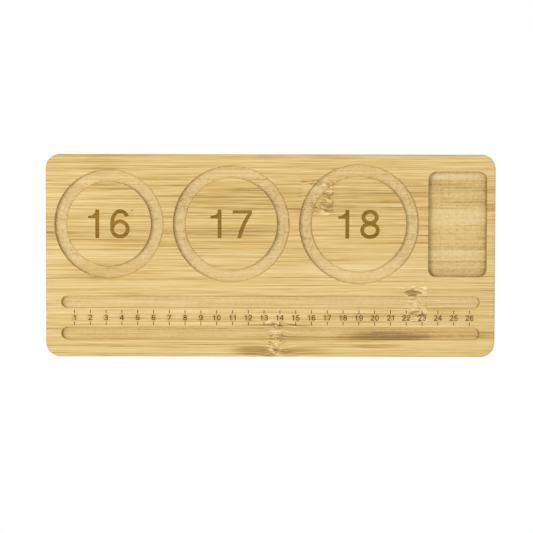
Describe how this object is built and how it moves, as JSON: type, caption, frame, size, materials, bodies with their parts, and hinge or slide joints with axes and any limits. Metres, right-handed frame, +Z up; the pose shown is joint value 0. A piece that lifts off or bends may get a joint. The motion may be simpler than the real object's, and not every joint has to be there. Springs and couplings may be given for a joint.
{
  "type": "bead board",
  "caption": "Bamboo beading board with ring channels for bracelet sizes, two straight channels, a centimetre ruler and a tray for loose beads",
  "frame": {"origin": "centre of the underside, the face that rests on the table", "axes": "+X along the board and its strips, towards the tray; +Y across the board, from the ruler side to the ring side; +Z up out of the milled face"},
  "size_m": [0.284, 0.128, 0.015],
  "materials": {
    "face_bamboo": "sanded bamboo, bare or lightly oiled, with burnt engraving",
    "core_bamboo": "sanded bamboo, seen only along the edges",
    "back_bamboo": "sanded bamboo"
  },
  "bodies": {
    "root": {"face_strip_1": "face_bamboo", "face_strip_2": "face_bamboo", "face_strip_3": "face_bamboo", "face_strip_4": "face_bamboo", "face_strip_5": "face_bamboo", "face_strip_6": "face_bamboo", "core_strip_1": "core_bamboo", "core_strip_2": "core_bamboo", "core_strip_3": "core_bamboo", "core_strip_4": "core_bamboo", "core_strip_5": "core_bamboo", "core_strip_6": "core_bamboo", "back_strip_1": "back_bamboo", "back_strip_2": "back_bamboo", "back_strip_3": "back_bamboo", "back_strip_4": "back_bamboo", "back_strip_5": "back_bamboo", "back_strip_6": "back_bamboo"}
  },
  "joints": []
}
